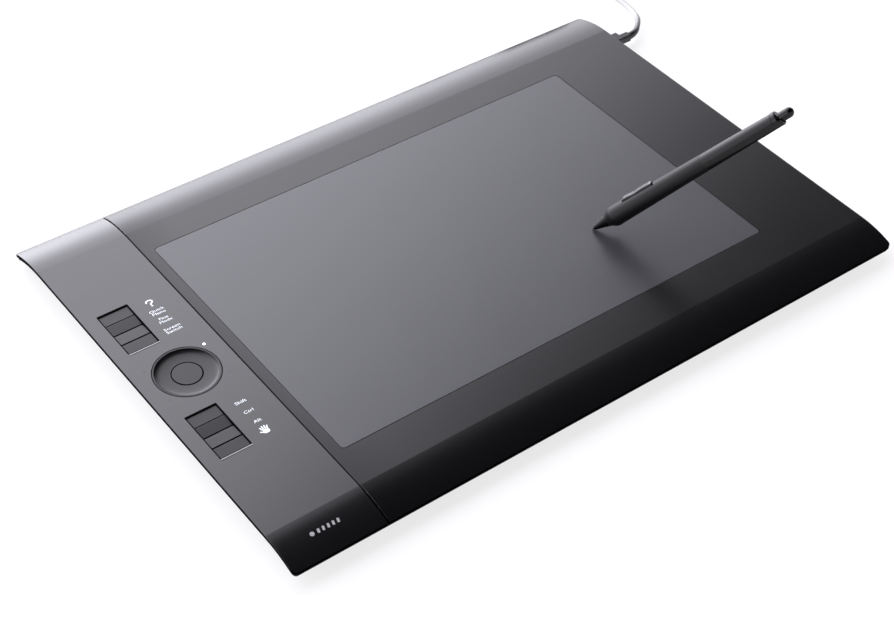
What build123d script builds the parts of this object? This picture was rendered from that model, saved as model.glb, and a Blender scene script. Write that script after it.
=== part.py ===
from build123d import *
import math
import os

# Pen drawing tablet: a flat case with a key strip, a pen standing on its sheet, and a USB lead.
# Millimetres, +Z up. The origin lies on the surface that the tablet stands on, under the middle
# of the case. +X runs along the case away from the key strip, +Y away from the user.

# ---------------------------------------------------------------- driving dimensions: case
LENGTH = 474.0
WIDTH = 320.0
HEIGHT = 14.0

FLAT_FRONT = 132.0          # the top is flat up to here, then rolls down to the front edge
FLAT_BACK = 130.0
ROLL_FRONT = 80.0           # radii of the rolled front and back edges
ROLL_BACK = 75.0

SHELL = 2.2                 # wall of the top cover and the strip cover
PART_LINE = 0.55            # gap between upper and lower shells
RIM = 1.7                   # thickness of the bottom case's flange under the part line
RIM_INSET = 0.9             # the flange stands this far inside the upper shell's edge
SEAM_X = -173.6             # seam between the strip cover and the top cover
SEAM = 0.5

FOOT = 1.4                  # the feet hold the case this far off the surface
FLOOR = 1.8                 # thickness of the bottom case's floor
FLOOR_TOP = FOOT + FLOOR
TUB_X = 231.5               # half sizes of the tub under the flange
TUB_Y = 148.0
TUB_WALL = 2.0
DRAFT = 8.0                 # the tub's walls lean in by this many degrees

# ---------------------------------------------------------------- driving dimensions: sheet
SHEET_X = 2.1
SHEET_Y = 1.8
SHEET_LENGTH = 335.2
SHEET_WIDTH = 211.4
SHEET_THICK = 0.9
SHEET_GAP = 0.35
SHEET_CORNER = 2.4

# ---------------------------------------------------------------- driving dimensions: key strip
RING_X = -205.7
MID_Y = 0.9                 # the ring and both key groups are symmetrical about this line
RING_HOLE_R = 21.2
RING_R = 20.9
RING_BOTTOM = 11.0
BUTTON_R = 9.2
BUTTON_GAP = 0.3
BUTTON_TOP = 12.35

POCKET_X = -216.1
POCKET_LENGTH = 39.2        # along Y
POCKET_WIDTH = 21.2         # along X
GROUP_OFFSET = 51.6         # from the middle line to each key group's centre
KEY_GAP = 0.5
KEY_FLANGE_BOTTOM = 1.2     # the keys' flanges start this far under the strip's lower face
KEY_BOTTOM = 8.6
# per key, from the back: offset of its two ends from the group's centre, top height at each end
KEY_ENDS = [(19.1, 9.95, 13.3, 13.3), (9.65, 0.4, 13.3, 12.8), (-0.4, -9.4, 12.9, 13.35),
            (-10.2, -19.1, 13.35, 13.35)]

WINDOW_X = -193.9
WINDOW_WIDTH = 19.2
WINDOW_LENGTH = 38.0
WINDOW_OFFSET = 50.4
LIGHT_DX = 20.7             # the four light guides stand this far from the ring's centre
LIGHT_DY = 14.3
LIGHT_R = 0.9

# ---------------------------------------------------------------- driving dimensions: inside
BOARD = 1.2                 # thickness of the circuit boards
SENSOR_THICK = 1.0
SHIELD_THICK = 0.3
SENSOR_TOP = HEIGHT - SHELL
SHIELD_BOTTOM = SENSOR_TOP - SENSOR_THICK - SHIELD_THICK
KEY_BOARD_Z = 5.0
SWITCH_HEIGHT = 1.5
SCREW_R = 1.2
SCREW_CLEAR = 0.05
BOSS_R = 2.8
COVER_SCREWS = [(-150, 136), (0, 136), (150, 136), (-150, -136), (0, -136), (150, -136),
                (205, 62), (205, -62)]
STRIP_SCREWS = [(-215, 110), (-190, 110), (-215, -110), (-190, -110)]

# ---------------------------------------------------------------- driving dimensions: ports
PORT_Y = 123.8              # the port in use; the spare port is its mirror image in Y
PORT_Z = 6.35
SOCKET_WIDTH = 7.9
SOCKET_HEIGHT = 4.1
SOCKET_LENGTH = 9.0
SOCKET_WALL = 0.35
TUB_OUT_X = 231.0           # outer face of the tub's end wall at port height

# ---------------------------------------------------------------- driving dimensions: pen
PEN_LENGTH = 156.0
PEN_ELEVATION = 43.0
PEN_AZIMUTH = -40.2
NIB_GAP = 0.2
PEN_TIP = Vector(79.2, -38.7, HEIGHT + NIB_GAP)
SWITCH_FACES = (-0.338, 0.613, 0.713)    # the side switch faces roughly this way
GRIP_BORE = 5.2
NOSE_END = 12.6
SHOULDER = 18.8             # the grip is widest here
SHOULDER_R = 7.1
GRIP_END = 90.0
RING_START = 141.5
RING_END = 145.4
LIP_END = 147.6
ERASER_R = 3.35
RING_SWELL = 0.35           # the tail ring stands this far proud of the barrel

# ---------------------------------------------------------------- driving dimensions: lead
CABLE_R = 2.0
PLUG_TOP = 9.5
PLUG_BOTTOM = 3.2
PLUG_STEP_X = 246.5
PLUG_END_X = 254.0
CABLE_Y = 122.3             # the lead leaves the plug on this line, not on the port's
RELIEF_R = 2.9
RELIEF_END_R = 2.15         # the relief tapers to just over the lead's own radius
RELIEF_STEPS = 5
RELIEF_BEND = 20.0
RELIEF_TURN = 40.0
FLOOR_Z = 2.05              # height of the lead's middle where it lies on the surface
# the lead's route from the strain relief to the coil, and from the coil to the large plug
ROUTE = [(266.86, 126.98, 6.35), (273.8, 132.8, 6.35), (279.3, 141.3, 4.9), (283.6, 153.2, 3.1),
         (286.0, 166.4, FLOOR_Z), (285.2, 182.0, FLOOR_Z), (283.4, 199.5, FLOOR_Z),
         (283.0, 218.0, FLOOR_Z), (283.7, 236.5, FLOOR_Z), (285.0, 255.0, FLOOR_Z)]
COIL_X = 254.5
COIL_Y = 256.0
COIL_R = 23.0               # radius at the middle of the turns
COIL_HALF_WIDTH = 9.5
COIL_HALF_HEIGHT = 8.0
TAIL_TURN = 80.0            # the lead leaves the coil at this angle
TAIL_STEPS = [(12.0, 13.2), (13.0, 9.6), (13.0, 5.6), (11.0, 4.1), (10.0, 4.1)]
TIE_TURN = 205.0
TIE_WIDTH = 9.0
TIE_THICK = 0.8

os.makedirs("parts", exist_ok=True)


def save(part, label):
    """Name a finished piece and write it to its own file."""
    part.label = label
    export_step(part, f"parts/{label}.step")


# ---------------------------------------------------------------- case shells
def crown_section(plane, upper, lower, half):
    """Face between two curves parallel to the case's top, sunk by upper and by lower."""
    sweep_front = math.degrees(math.asin((half - FLAT_FRONT) / (ROLL_FRONT - upper)))
    sweep_back = math.degrees(math.asin((half - FLAT_BACK) / (ROLL_BACK - upper)))
    under_front = math.degrees(math.asin((half - FLAT_FRONT) / (ROLL_FRONT - lower)))
    under_back = math.degrees(math.asin((half - FLAT_BACK) / (ROLL_BACK - lower)))
    front_centre = (-FLAT_FRONT, HEIGHT - ROLL_FRONT)
    back_centre = (FLAT_BACK, HEIGHT - ROLL_BACK)
    with BuildSketch(plane) as section:
        with BuildLine():
            front_top = CenterArc(front_centre, ROLL_FRONT - upper, 90, sweep_front)
            Line(front_top @ 0, (FLAT_BACK, HEIGHT - upper))
            back_top = CenterArc(back_centre, ROLL_BACK - upper, 90, -sweep_back)
            back_under = CenterArc(back_centre, ROLL_BACK - lower, 90, -under_back)
            Line(back_top @ 1, back_under @ 1)
            Line(back_under @ 0, (-FLAT_FRONT, HEIGHT - lower))
            front_under = CenterArc(front_centre, ROLL_FRONT - lower, 90, under_front)
            Line(front_under @ 1, front_top @ 1)
        make_face()
    return section.sketch


def crown_plate(x_low, x_high, upper, lower, half, corners):
    """Plate that follows the case's curved top, between two planes across X.

    corners maps the plan corners, as (sign of x, sign of y), to their radii.
    """
    section = crown_section(Plane.YZ.offset(x_low), upper, lower, half)
    with BuildPart() as plate:
        extrude(section, amount=x_high - x_low)
        for (side_x, side_y), radius in corners.items():
            x_corner = x_high if side_x > 0 else x_low
            fillet([e for e in plate.edges().filter_by(Axis.Z)
                    if abs(e.center().X - x_corner) < 0.01 and e.center().Y * side_y > 0], radius)
    return plate.part


strip_plate = crown_plate(-LENGTH / 2, SEAM_X - SEAM / 2, 0, SHELL, WIDTH / 2,
                          {(-1, -1): 3.5, (-1, 1): 1.5})
cover_plate = crown_plate(SEAM_X + SEAM / 2, LENGTH / 2, 0, SHELL, WIDTH / 2,
                          {(1, -1): 3.5, (1, 1): 3.0})
flange_plate = crown_plate(-LENGTH / 2 + RIM_INSET, LENGTH / 2 - RIM_INSET, SHELL + PART_LINE,
                           SHELL + PART_LINE + RIM, WIDTH / 2 - RIM_INSET,
                           {(-1, -1): 2.6, (-1, 1): 1.0, (1, -1): 2.6, (1, 1): 2.1})

with BuildPart() as top_cover:
    add(cover_plate)
    # soft edges along the outline and the seam
    fillet(top_cover.faces().filter_by(Axis.Z).sort_by(Axis.Z)[-1].edges()
           .filter_by(Axis.Y), 0.45)
    # recess for the drawing sheet
    with BuildSketch(Plane.XY.offset(HEIGHT - SHEET_THICK)):
        with Locations((SHEET_X, SHEET_Y)):
            RectangleRounded(SHEET_LENGTH + 2 * SHEET_GAP, SHEET_WIDTH + 2 * SHEET_GAP,
                             SHEET_CORNER + SHEET_GAP)
    extrude(amount=SHEET_THICK + 1, mode=Mode.SUBTRACT)
    # screw bosses
    with BuildSketch(Plane.XY.offset(FLOOR_TOP)):
        with Locations(*COVER_SCREWS):
            Circle(BOSS_R)
            Circle(SCREW_R + SCREW_CLEAR, mode=Mode.SUBTRACT)
    extrude(amount=HEIGHT - SHELL - FLOOR_TOP + 0.2)
save(top_cover.part, "top_cover")

with BuildPart() as key_strip_cover:
    add(strip_plate)
    fillet(key_strip_cover.faces().filter_by(Axis.Z).sort_by(Axis.Z)[-1].edges()
           .filter_by(Axis.Y), 0.45)
    # opening for the ring, two key pockets and two label windows
    with BuildSketch(Plane.XY):
        with Locations((RING_X, MID_Y)):
            Circle(RING_HOLE_R)
        with Locations((POCKET_X, MID_Y + GROUP_OFFSET), (POCKET_X, MID_Y - GROUP_OFFSET)):
            RectangleRounded(POCKET_WIDTH, POCKET_LENGTH, 0.7)
        with Locations((WINDOW_X, MID_Y + WINDOW_OFFSET), (WINDOW_X, MID_Y - WINDOW_OFFSET)):
            RectangleRounded(WINDOW_WIDTH, WINDOW_LENGTH, 1.5)
        with Locations((RING_X, MID_Y)):
            with GridLocations(2 * LIGHT_DX, 2 * LIGHT_DY, 2, 2):
                Circle(LIGHT_R)
    extrude(amount=HEIGHT + 1, mode=Mode.SUBTRACT)
    # the pockets' rims and the ring's rim are rounded
    top_edges = key_strip_cover.edges().filter_by(
        lambda e: abs(e.center().Z - HEIGHT) < 0.001 and abs(e.bounding_box().size.Z) < 0.001)
    pocket_edges = [e for e in top_edges
                    if abs(e.center().X - POCKET_X) < POCKET_WIDTH / 2 + 0.1
                    and GROUP_OFFSET - POCKET_LENGTH / 2 - 0.1 < abs(e.center().Y - MID_Y)
                    < GROUP_OFFSET + POCKET_LENGTH / 2 + 0.1]
    ring_edges = [e for e in top_edges
                  if e.geom_type == GeomType.CIRCLE and abs(e.radius - RING_HOLE_R) < 0.01]
    fillet(pocket_edges, 0.5)
    chamfer(ring_edges, 0.15)
    with BuildSketch(Plane.XY.offset(FLOOR_TOP)):
        with Locations(*STRIP_SCREWS):
            Circle(BOSS_R)
            Circle(SCREW_R + SCREW_CLEAR, mode=Mode.SUBTRACT)
    extrude(amount=HEIGHT - SHELL - FLOOR_TOP + 0.2)
save(key_strip_cover.part, "key_strip_cover")

SCREW_POINTS = COVER_SCREWS + STRIP_SCREWS
FOOT_POINTS = [(-192, 132), (192, 132), (-192, -132), (192, -132)]
FOOT_LENGTH = 44.0
FOOT_WIDTH = 11.0
FOOT_POCKET = 0.7
HEAD_R = 2.3
HEAD_DEEP = 1.0
PLATE_LENGTH = 90.0
PLATE_WIDTH = 34.0
PLATE_THICK = 0.3
RIB_TOP = SHIELD_BOTTOM
RIB = 1.4
SLOT_LENGTH = 30.0          # the spare port's slider runs in a slot this long
SLOT_Y = -PORT_Y + 24.0

under_crown = crown_section(Plane.YZ.offset(-LENGTH / 2), SHELL + PART_LINE, 20.0,
                            WIDTH / 2 - RIM_INSET)

with BuildPart() as bottom_case:
    # tub with leaning walls, cut off under the curved flange
    with BuildSketch(Plane.XY.offset(FOOT)):
        RectangleRounded(2 * (TUB_X - 1.2), 2 * (TUB_Y - 1.2), 10)
    extrude(amount=HEIGHT - FOOT, taper=-DRAFT)
    fillet(bottom_case.faces().sort_by(Axis.Z)[0].edges(), 0.8)
    extrude(under_crown, amount=LENGTH, mode=Mode.INTERSECT)
    add(flange_plate)
    # cavity
    with BuildSketch(Plane.XY.offset(FLOOR_TOP)):
        RectangleRounded(2 * (TUB_X - 1.0 - TUB_WALL), 2 * (TUB_Y - 1.0 - TUB_WALL), 8)
    extrude(amount=HEIGHT, mode=Mode.SUBTRACT)
    # ribs that carry the sensor board, and posts for the boards under the strip
    with BuildSketch(Plane.XY.offset(FLOOR_TOP)):
        for rib_x in (-45, 0, 45, 90, 135, 170):
            with Locations((rib_x, 0)):
                Rectangle(RIB, 216)
        for rib_y in (-95, -55, -15, 25, 65, 100):
            with Locations((62.5, rib_y)):
                Rectangle(216.4, RIB)
    extrude(amount=RIB_TOP - FLOOR_TOP)
    with BuildSketch(Plane.XY.offset(FLOOR_TOP)):
        with Locations((-223, 76), (-185, 76), (-223, -74), (-185, -74), (-223, 26), (-223, -24),
                       (-158, 44), (-62, 44), (-158, -44), (-62, -44)):
            Circle(2.2)
    extrude(amount=KEY_BOARD_Z - FLOOR_TOP)
    # screw holes with sunk heads, foot pockets and a shallow bed for the rating plate
    with BuildSketch(Plane.XY):
        with Locations(*SCREW_POINTS):
            Circle(SCREW_R + 0.3)
    extrude(amount=FLOOR_TOP + 0.01, mode=Mode.SUBTRACT)
    with BuildSketch(Plane.XY):
        with Locations(*SCREW_POINTS):
            Circle(HEAD_R + 0.2)
    extrude(amount=FOOT + HEAD_DEEP, mode=Mode.SUBTRACT)
    with BuildSketch(Plane.XY):
        with Locations(*FOOT_POINTS):
            RectangleRounded(FOOT_LENGTH, FOOT_WIDTH, 3)
    extrude(amount=FOOT + FOOT_POCKET, mode=Mode.SUBTRACT)
    with BuildSketch(Plane.XY):
        with Locations((60, 0)):
            RectangleRounded(PLATE_LENGTH + 0.4, PLATE_WIDTH + 0.4, 2.2)
    extrude(amount=FOOT + PLATE_THICK, mode=Mode.SUBTRACT)
    # port openings and the slider's slot in the end wall
    with BuildSketch(Plane.YZ.offset(TUB_X - 8)):
        with Locations((PORT_Y, PORT_Z), (-PORT_Y, PORT_Z)):
            RectangleRounded(SOCKET_WIDTH + 0.4, SOCKET_HEIGHT + 0.4, 0.8)
        with Locations((SLOT_Y, PORT_Z)):
            RectangleRounded(SLOT_LENGTH, 2.0, 0.9)
    extrude(amount=14, mode=Mode.SUBTRACT)
save(bottom_case.part, "bottom_case")

with BuildPart() as drawing_sheet:
    with BuildSketch(Plane.XY.offset(HEIGHT - SHEET_THICK)):
        with Locations((SHEET_X, SHEET_Y)):
            RectangleRounded(SHEET_LENGTH, SHEET_WIDTH, SHEET_CORNER)
    extrude(amount=SHEET_THICK)
    fillet(drawing_sheet.faces().sort_by(Axis.Z)[-1].edges(), 0.25)
save(drawing_sheet.part, "drawing_sheet")

# ---------------------------------------------------------------- ring, keys, windows, lights
with BuildPart() as touch_ring:
    with BuildSketch(Plane.XZ.offset(-MID_Y)):
        with BuildLine():
            rim = Polyline((RING_X + BUTTON_R + BUTTON_GAP, BUTTON_TOP - 0.1),
                           (RING_X + BUTTON_R + BUTTON_GAP, RING_BOTTOM),
                           (RING_X + RING_R + 1.4, RING_BOTTOM),
                           (RING_X + RING_R + 1.4, HEIGHT - SHELL),
                           (RING_X + RING_R, HEIGHT - SHELL),
                           (RING_X + RING_R, HEIGHT - 0.15),
                           (RING_X + RING_R - 0.15, HEIGHT),
                           (RING_X + RING_R - 1.0, HEIGHT))
            dish_edge = (RING_X + RING_R - 1.5, HEIGHT - 0.35)
            Line(rim @ 1, dish_edge)
            Spline(dish_edge, (RING_X + 15.6, BUTTON_TOP + 0.15), rim @ 0,
                   tangents=[(-1, -1.1), (-1, -0.02)])
        make_face()
    revolve(axis=Axis((RING_X, MID_Y, 0), (0, 0, 1)))
save(touch_ring.part, "touch_ring")

with BuildPart() as ring_button:
    with BuildSketch(Plane.XY.offset(BUTTON_TOP - 0.9)):
        with Locations((RING_X, MID_Y)):
            Circle(BUTTON_R)
    extrude(amount=0.9)
    fillet(ring_button.faces().sort_by(Axis.Z)[-1].edges(), 0.25)
    with BuildSketch(Plane.XY.offset(BUTTON_TOP - 0.9)):
        with Locations((RING_X, MID_Y)):
            Circle(BUTTON_R)
    extrude(amount=-0.9)
    with BuildSketch(Plane.XY.offset(RING_BOTTOM - 0.9)):
        with Locations((RING_X, MID_Y)):
            Circle(BUTTON_R + 1.1)
    extrude(amount=0.8)
    with BuildSketch(Plane.XY.offset(RING_BOTTOM - 0.1)):
        with Locations((RING_X, MID_Y)):
            Circle(BUTTON_R)
    extrude(amount=0.8)
    with BuildSketch(Plane.XY.offset(KEY_BOTTOM)):
        with Locations((RING_X, MID_Y)):
            Circle(2.5)
    extrude(amount=RING_BOTTOM - 0.9 - KEY_BOTTOM)
save(ring_button.part, "ring_button")


def key_cap(group_y, ends):
    """Key cap with a slanted top, a flange under the strip and a stem over its switch."""
    back, front, back_top, front_top = ends
    side = Plane.YZ.offset(POCKET_X - POCKET_WIDTH / 2 + KEY_GAP)
    low = HEIGHT - SHELL - KEY_FLANGE_BOTTOM
    with BuildPart() as key:
        with BuildSketch(side):
            with BuildLine():
                Polyline((group_y + front, low), (group_y + back, low), (group_y + back, back_top),
                         (group_y + front, front_top), close=True)
            make_face()
        extrude(amount=POCKET_WIDTH - 2 * KEY_GAP)
        fillet(key.edges().filter_by(Axis.Z), 0.4)
        fillet(key.faces().sort_by(Axis.Z)[-1].edges(), 0.3)
        middle = group_y + (back + front) / 2
        with BuildSketch(Plane.XY.offset(low)):
            with Locations((POCKET_X, middle)):
                Rectangle(POCKET_WIDTH + 1.6, back - front - 1.2)
        extrude(amount=0.9)
        with BuildSketch(Plane.XY.offset(KEY_BOTTOM)):
            with Locations((POCKET_X, middle)):
                RectangleRounded(4.4, 4.4, 0.6)
        extrude(amount=low - KEY_BOTTOM)
    return key.part


key_number = 0
switch_points = [(RING_X, MID_Y)]
for group_y in (MID_Y + GROUP_OFFSET, MID_Y - GROUP_OFFSET):
    for ends in KEY_ENDS:
        key_number += 1
        save(key_cap(group_y, ends), f"key_{key_number}")
        switch_points.append((POCKET_X, group_y + (ends[0] + ends[1]) / 2))

for name, side in (("upper", 1), ("lower", -1)):
    window_y = MID_Y + side * WINDOW_OFFSET
    with BuildPart() as label_window:
        with BuildSketch(Plane.XY.offset(HEIGHT - SHELL)):
            with Locations((WINDOW_X, window_y)):
                RectangleRounded(WINDOW_WIDTH, WINDOW_LENGTH, 1.5)
        extrude(amount=SHELL)
    save(label_window.part, f"{name}_label_window")

    with BuildPart() as label_display:
        with BuildSketch(Plane.XY.offset(HEIGHT - SHELL - 1.6)):
            with Locations((WINDOW_X + 0.3, window_y)):
                RectangleRounded(WINDOW_WIDTH - 1.0, WINDOW_LENGTH + 1.6, 0.4)
        extrude(amount=1.6)
        # step where the flexible tail is bonded to the glass
        with BuildSketch(Plane.XY.offset(HEIGHT - SHELL - 0.7)):
            with Locations((WINDOW_X + 0.3, window_y + side * (WINDOW_LENGTH / 2 - 0.6))):
                Rectangle(WINDOW_WIDTH, 3.0)
        extrude(amount=1, mode=Mode.SUBTRACT)
    save(label_display.part, f"{name}_label_display")

with BuildPart() as status_light_guides:
    with BuildSketch(Plane.XY.offset(KEY_BOARD_Z + BOARD + 1.0)):
        with Locations((RING_X, MID_Y)):
            with GridLocations(2 * LIGHT_DX, 2 * LIGHT_DY, 2, 2):
                Circle(LIGHT_R)
    extrude(amount=HEIGHT - KEY_BOARD_Z - BOARD - 1.0)
save(status_light_guides.part, "status_light_guides")

# ---------------------------------------------------------------- boards inside the case
with BuildPart() as sensor_board:
    with BuildSketch(Plane.XY.offset(SENSOR_TOP - SENSOR_THICK)):
        with Locations((SHEET_X, SHEET_Y)):
            Rectangle(SHEET_LENGTH + 12, SHEET_WIDTH + 14)
        with Locations((SHEET_X - SHEET_LENGTH / 2 - 2, -100), (SHEET_X + SHEET_LENGTH / 2 + 2, -100),
                       (SHEET_X - SHEET_LENGTH / 2 - 2, 100), (SHEET_X + SHEET_LENGTH / 2 + 2, 100)):
            Circle(1.6, mode=Mode.SUBTRACT)
    extrude(amount=SENSOR_THICK)
save(sensor_board.part, "sensor_board")

with BuildPart() as sensor_shield:
    with BuildSketch(Plane.XY.offset(SHIELD_BOTTOM)):
        with Locations((SHEET_X, SHEET_Y)):
            RectangleRounded(SHEET_LENGTH + 4, SHEET_WIDTH + 6, 3)
    extrude(amount=SHIELD_THICK)
save(sensor_shield.part, "sensor_shield")

CHIPS = [(-125, 12, 14, 14), (-98, -14, 10, 10), (-98, 16, 8, 6), (-130, -22, 6, 8),
         (-80, 0, 5, 12), (-143, 22, 4, 6)]
with BuildPart() as main_board:
    with BuildSketch(Plane.XY.offset(KEY_BOARD_Z)):
        with Locations((-110, 0)):
            RectangleRounded(104, 96, 2)
    extrude(amount=BOARD)
    for chip_x, chip_y, chip_length, chip_width in CHIPS:
        with BuildSketch(Plane.XY.offset(KEY_BOARD_Z + BOARD)):
            with Locations((chip_x, chip_y)):
                Rectangle(chip_length, chip_width)
        extrude(amount=1.0)
save(main_board.part, "main_board")

with BuildPart() as key_board:
    with BuildSketch(Plane.XY.offset(KEY_BOARD_Z)):
        with Locations((-204, MID_Y)):
            RectangleRounded(44, 164, 2)
    extrude(amount=BOARD)
    # light sources under the four guides
    with BuildSketch(Plane.XY.offset(KEY_BOARD_Z + BOARD)):
        with Locations((RING_X, MID_Y)):
            with GridLocations(2 * LIGHT_DX - 2, 2 * LIGHT_DY, 2, 2):
                Rectangle(1.6, 1.6)
    extrude(amount=0.8)
save(key_board.part, "key_board")

with BuildPart() as key_switches:
    with BuildSketch(Plane.XY.offset(KEY_BOARD_Z + BOARD)):
        with Locations(*switch_points):
            RectangleRounded(5.2, 5.2, 0.5)
    extrude(amount=SWITCH_HEIGHT - 0.4)
    with BuildSketch(Plane.XY.offset(KEY_BOARD_Z + BOARD + SWITCH_HEIGHT - 0.4)):
        with Locations(*switch_points):
            Circle(1.4)
    extrude(amount=0.4)
save(key_switches.part, "key_switches")

with BuildPart() as ring_sensor_board:
    with BuildSketch(Plane.XY.offset(RING_BOTTOM - 1.0)):
        with Locations((RING_X, MID_Y)):
            Circle(RING_R)
            Circle(BUTTON_R + 1.5, mode=Mode.SUBTRACT)
    extrude(amount=1.0)
save(ring_sensor_board.part, "ring_sensor_board")

for name, side in (("rear", 1), ("front", -1)):
    port_plane = Plane.YZ.offset(TUB_OUT_X - TUB_WALL - SOCKET_LENGTH)
    with BuildPart() as usb_socket:
        with BuildSketch(port_plane):
            with Locations((side * PORT_Y, PORT_Z)):
                RectangleRounded(SOCKET_WIDTH, SOCKET_HEIGHT, 0.7)
        extrude(amount=SOCKET_LENGTH + 1.2)
        with BuildSketch(port_plane.offset(1.5)):
            with Locations((side * PORT_Y, PORT_Z)):
                RectangleRounded(SOCKET_WIDTH - 2 * SOCKET_WALL, SOCKET_HEIGHT - 2 * SOCKET_WALL, 0.5)
        extrude(amount=SOCKET_LENGTH + 1.2, mode=Mode.SUBTRACT)
        # contact tongue
        with BuildSketch(port_plane.offset(1.5)):
            with Locations((side * PORT_Y, PORT_Z)):
                Rectangle(4.4, 0.7)
        extrude(amount=5.5)
    save(usb_socket.part, f"usb_socket_{name}")

    with BuildPart() as port_board:
        with BuildSketch(Plane.XY.offset(PORT_Z - SOCKET_HEIGHT / 2 - 1.0)):
            with Locations((TUB_OUT_X - TUB_WALL - 11.0, side * PORT_Y)):
                RectangleRounded(20, 18, 1)
        extrude(amount=1.0)
    save(port_board.part, f"port_board_{name}")

with BuildPart() as ribbon_cable:
    # runs on the tub's floor from the port boards, along the end and back walls, to the key board
    with BuildSketch(Plane.XY.offset(FLOOR_TOP)):
        with BuildLine():
            Polyline((200, -PORT_Y), (200, -122), (195, -116), (195, 116), (190, 122),
                     (-170, 122), (-180, 114), (-180, 72))
            offset(amount=3, side=Side.LEFT, closed=True)
        make_face()
    extrude(amount=0.2)
save(ribbon_cable.part, "ribbon_cable")

# ---------------------------------------------------------------- underside
with BuildPart() as rubber_feet:
    with BuildSketch(Plane.XY):
        with Locations(*FOOT_POINTS):
            RectangleRounded(FOOT_LENGTH - 0.4, FOOT_WIDTH - 0.4, 2.8)
    extrude(amount=FOOT + FOOT_POCKET)
    fillet(rubber_feet.faces().group_by(Axis.Z)[0].edges(), 0.4)
save(rubber_feet.part, "rubber_feet")

with BuildPart() as case_screws:
    with BuildSketch(Plane.XY.offset(FOOT + HEAD_DEEP - 1.2)):
        with Locations(*SCREW_POINTS):
            Circle(HEAD_R)
    extrude(amount=1.2)
    fillet(case_screws.faces().group_by(Axis.Z)[0].edges(), 0.4)
    with BuildSketch(Plane.XY.offset(FOOT + HEAD_DEEP)):
        with Locations(*SCREW_POINTS):
            Circle(SCREW_R)
    extrude(amount=6.5)
    # cross recesses in the heads
    with BuildSketch(Plane.XY.offset(FOOT + HEAD_DEEP - 1.2)):
        with Locations(*SCREW_POINTS):
            Rectangle(2.4, 0.5)
            Rectangle(0.5, 2.4)
    extrude(amount=0.6, mode=Mode.SUBTRACT)
save(case_screws.part, "case_screws")

with BuildPart() as rating_plate:
    with BuildSketch(Plane.XY.offset(FOOT)):
        with Locations((60, 0)):
            RectangleRounded(PLATE_LENGTH, PLATE_WIDTH, 2)
    extrude(amount=PLATE_THICK)
save(rating_plate.part, "rating_plate")

COVER_LENGTH = 13.0
COVER_HEIGHT = 6.0
with BuildPart() as port_cover:
    # plate outside the end wall, a neck in the slot and a keeper inside
    with BuildSketch(Plane.YZ.offset(TUB_OUT_X + 0.5)):
        with Locations((-PORT_Y, PORT_Z)):
            RectangleRounded(COVER_LENGTH, COVER_HEIGHT, 1)
        with Locations((-PORT_Y + 10.0, PORT_Z)):
            Rectangle(12, 3.6)
    extrude(amount=1.2)
    # finger ridges
    with BuildSketch(Plane.YZ.offset(TUB_OUT_X + 1.7)):
        with Locations((-PORT_Y, PORT_Z)):
            with GridLocations(2.4, 0, 4, 1):
                Rectangle(0.8, 4.2)
    extrude(amount=0.5)
    with BuildSketch(Plane.YZ.offset(TUB_OUT_X - TUB_WALL - 1.6)):
        with Locations((-PORT_Y + 13.0, PORT_Z)):
            Rectangle(4.0, 1.6)
    extrude(amount=TUB_WALL + 2.4)
    with BuildSketch(Plane.YZ.offset(TUB_OUT_X - TUB_WALL - 2.4)):
        with Locations((-PORT_Y + 13.0, PORT_Z)):
            Rectangle(5.0, 3.4)
    extrude(amount=0.8)
save(port_cover.part, "port_cover")

# ---------------------------------------------------------------- pen
elevation = math.radians(PEN_ELEVATION)
azimuth = math.radians(PEN_AZIMUTH)
PEN_DIR = Vector(math.cos(elevation) * math.cos(azimuth), math.cos(elevation) * math.sin(azimuth),
                 math.sin(elevation))
SWITCH_DIR = (Vector(*SWITCH_FACES) - PEN_DIR * Vector(*SWITCH_FACES).dot(PEN_DIR)).normalized()
PEN_AXIS = Axis(PEN_TIP, PEN_DIR)
ACROSS = Plane(PEN_TIP, x_dir=SWITCH_DIR, z_dir=PEN_DIR)
# side view of the pen: sketch x is the distance towards the switch, sketch y the distance
# along the pen from the nib's tip
ALONG = Plane(PEN_TIP, x_dir=SWITCH_DIR, z_dir=SWITCH_DIR.cross(PEN_DIR))


def turned(points):
    """Solid of revolution about the pen's axis, from (radius, distance from the tip) points."""
    with BuildPart() as piece:
        with BuildSketch(ALONG):
            with BuildLine():
                Polyline(*points, close=True)
            make_face()
        revolve(axis=PEN_AXIS)
    return piece.part


NIB_R = 0.8
NIB_TIP_R = 0.42
NIB_END = 33.0
NOSE_BORE = NIB_R + 0.08
with BuildPart() as pen_nib:
    with BuildSketch(ALONG):
        with BuildLine():
            shank = Polyline((0, 0), (0, NIB_END), (NIB_R, NIB_END), (NIB_R, 1.9), (NIB_TIP_R, NIB_TIP_R))
            RadiusArc(shank @ 1, shank @ 0, NIB_TIP_R)
        make_face()
    revolve(axis=PEN_AXIS)
save(pen_nib.part, "pen_nib")

save(turned([(NOSE_BORE, 1.5), (1.15, 1.5), (1.35, 1.7), (4.35, NOSE_END), (3.7, NOSE_END),
             (3.7, 19), (3.05, 19), (3.05, 12.9), (2.1, 11.8), (2.1, 9), (NOSE_BORE, 8.2)]),
     "pen_nose_cone")

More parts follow.
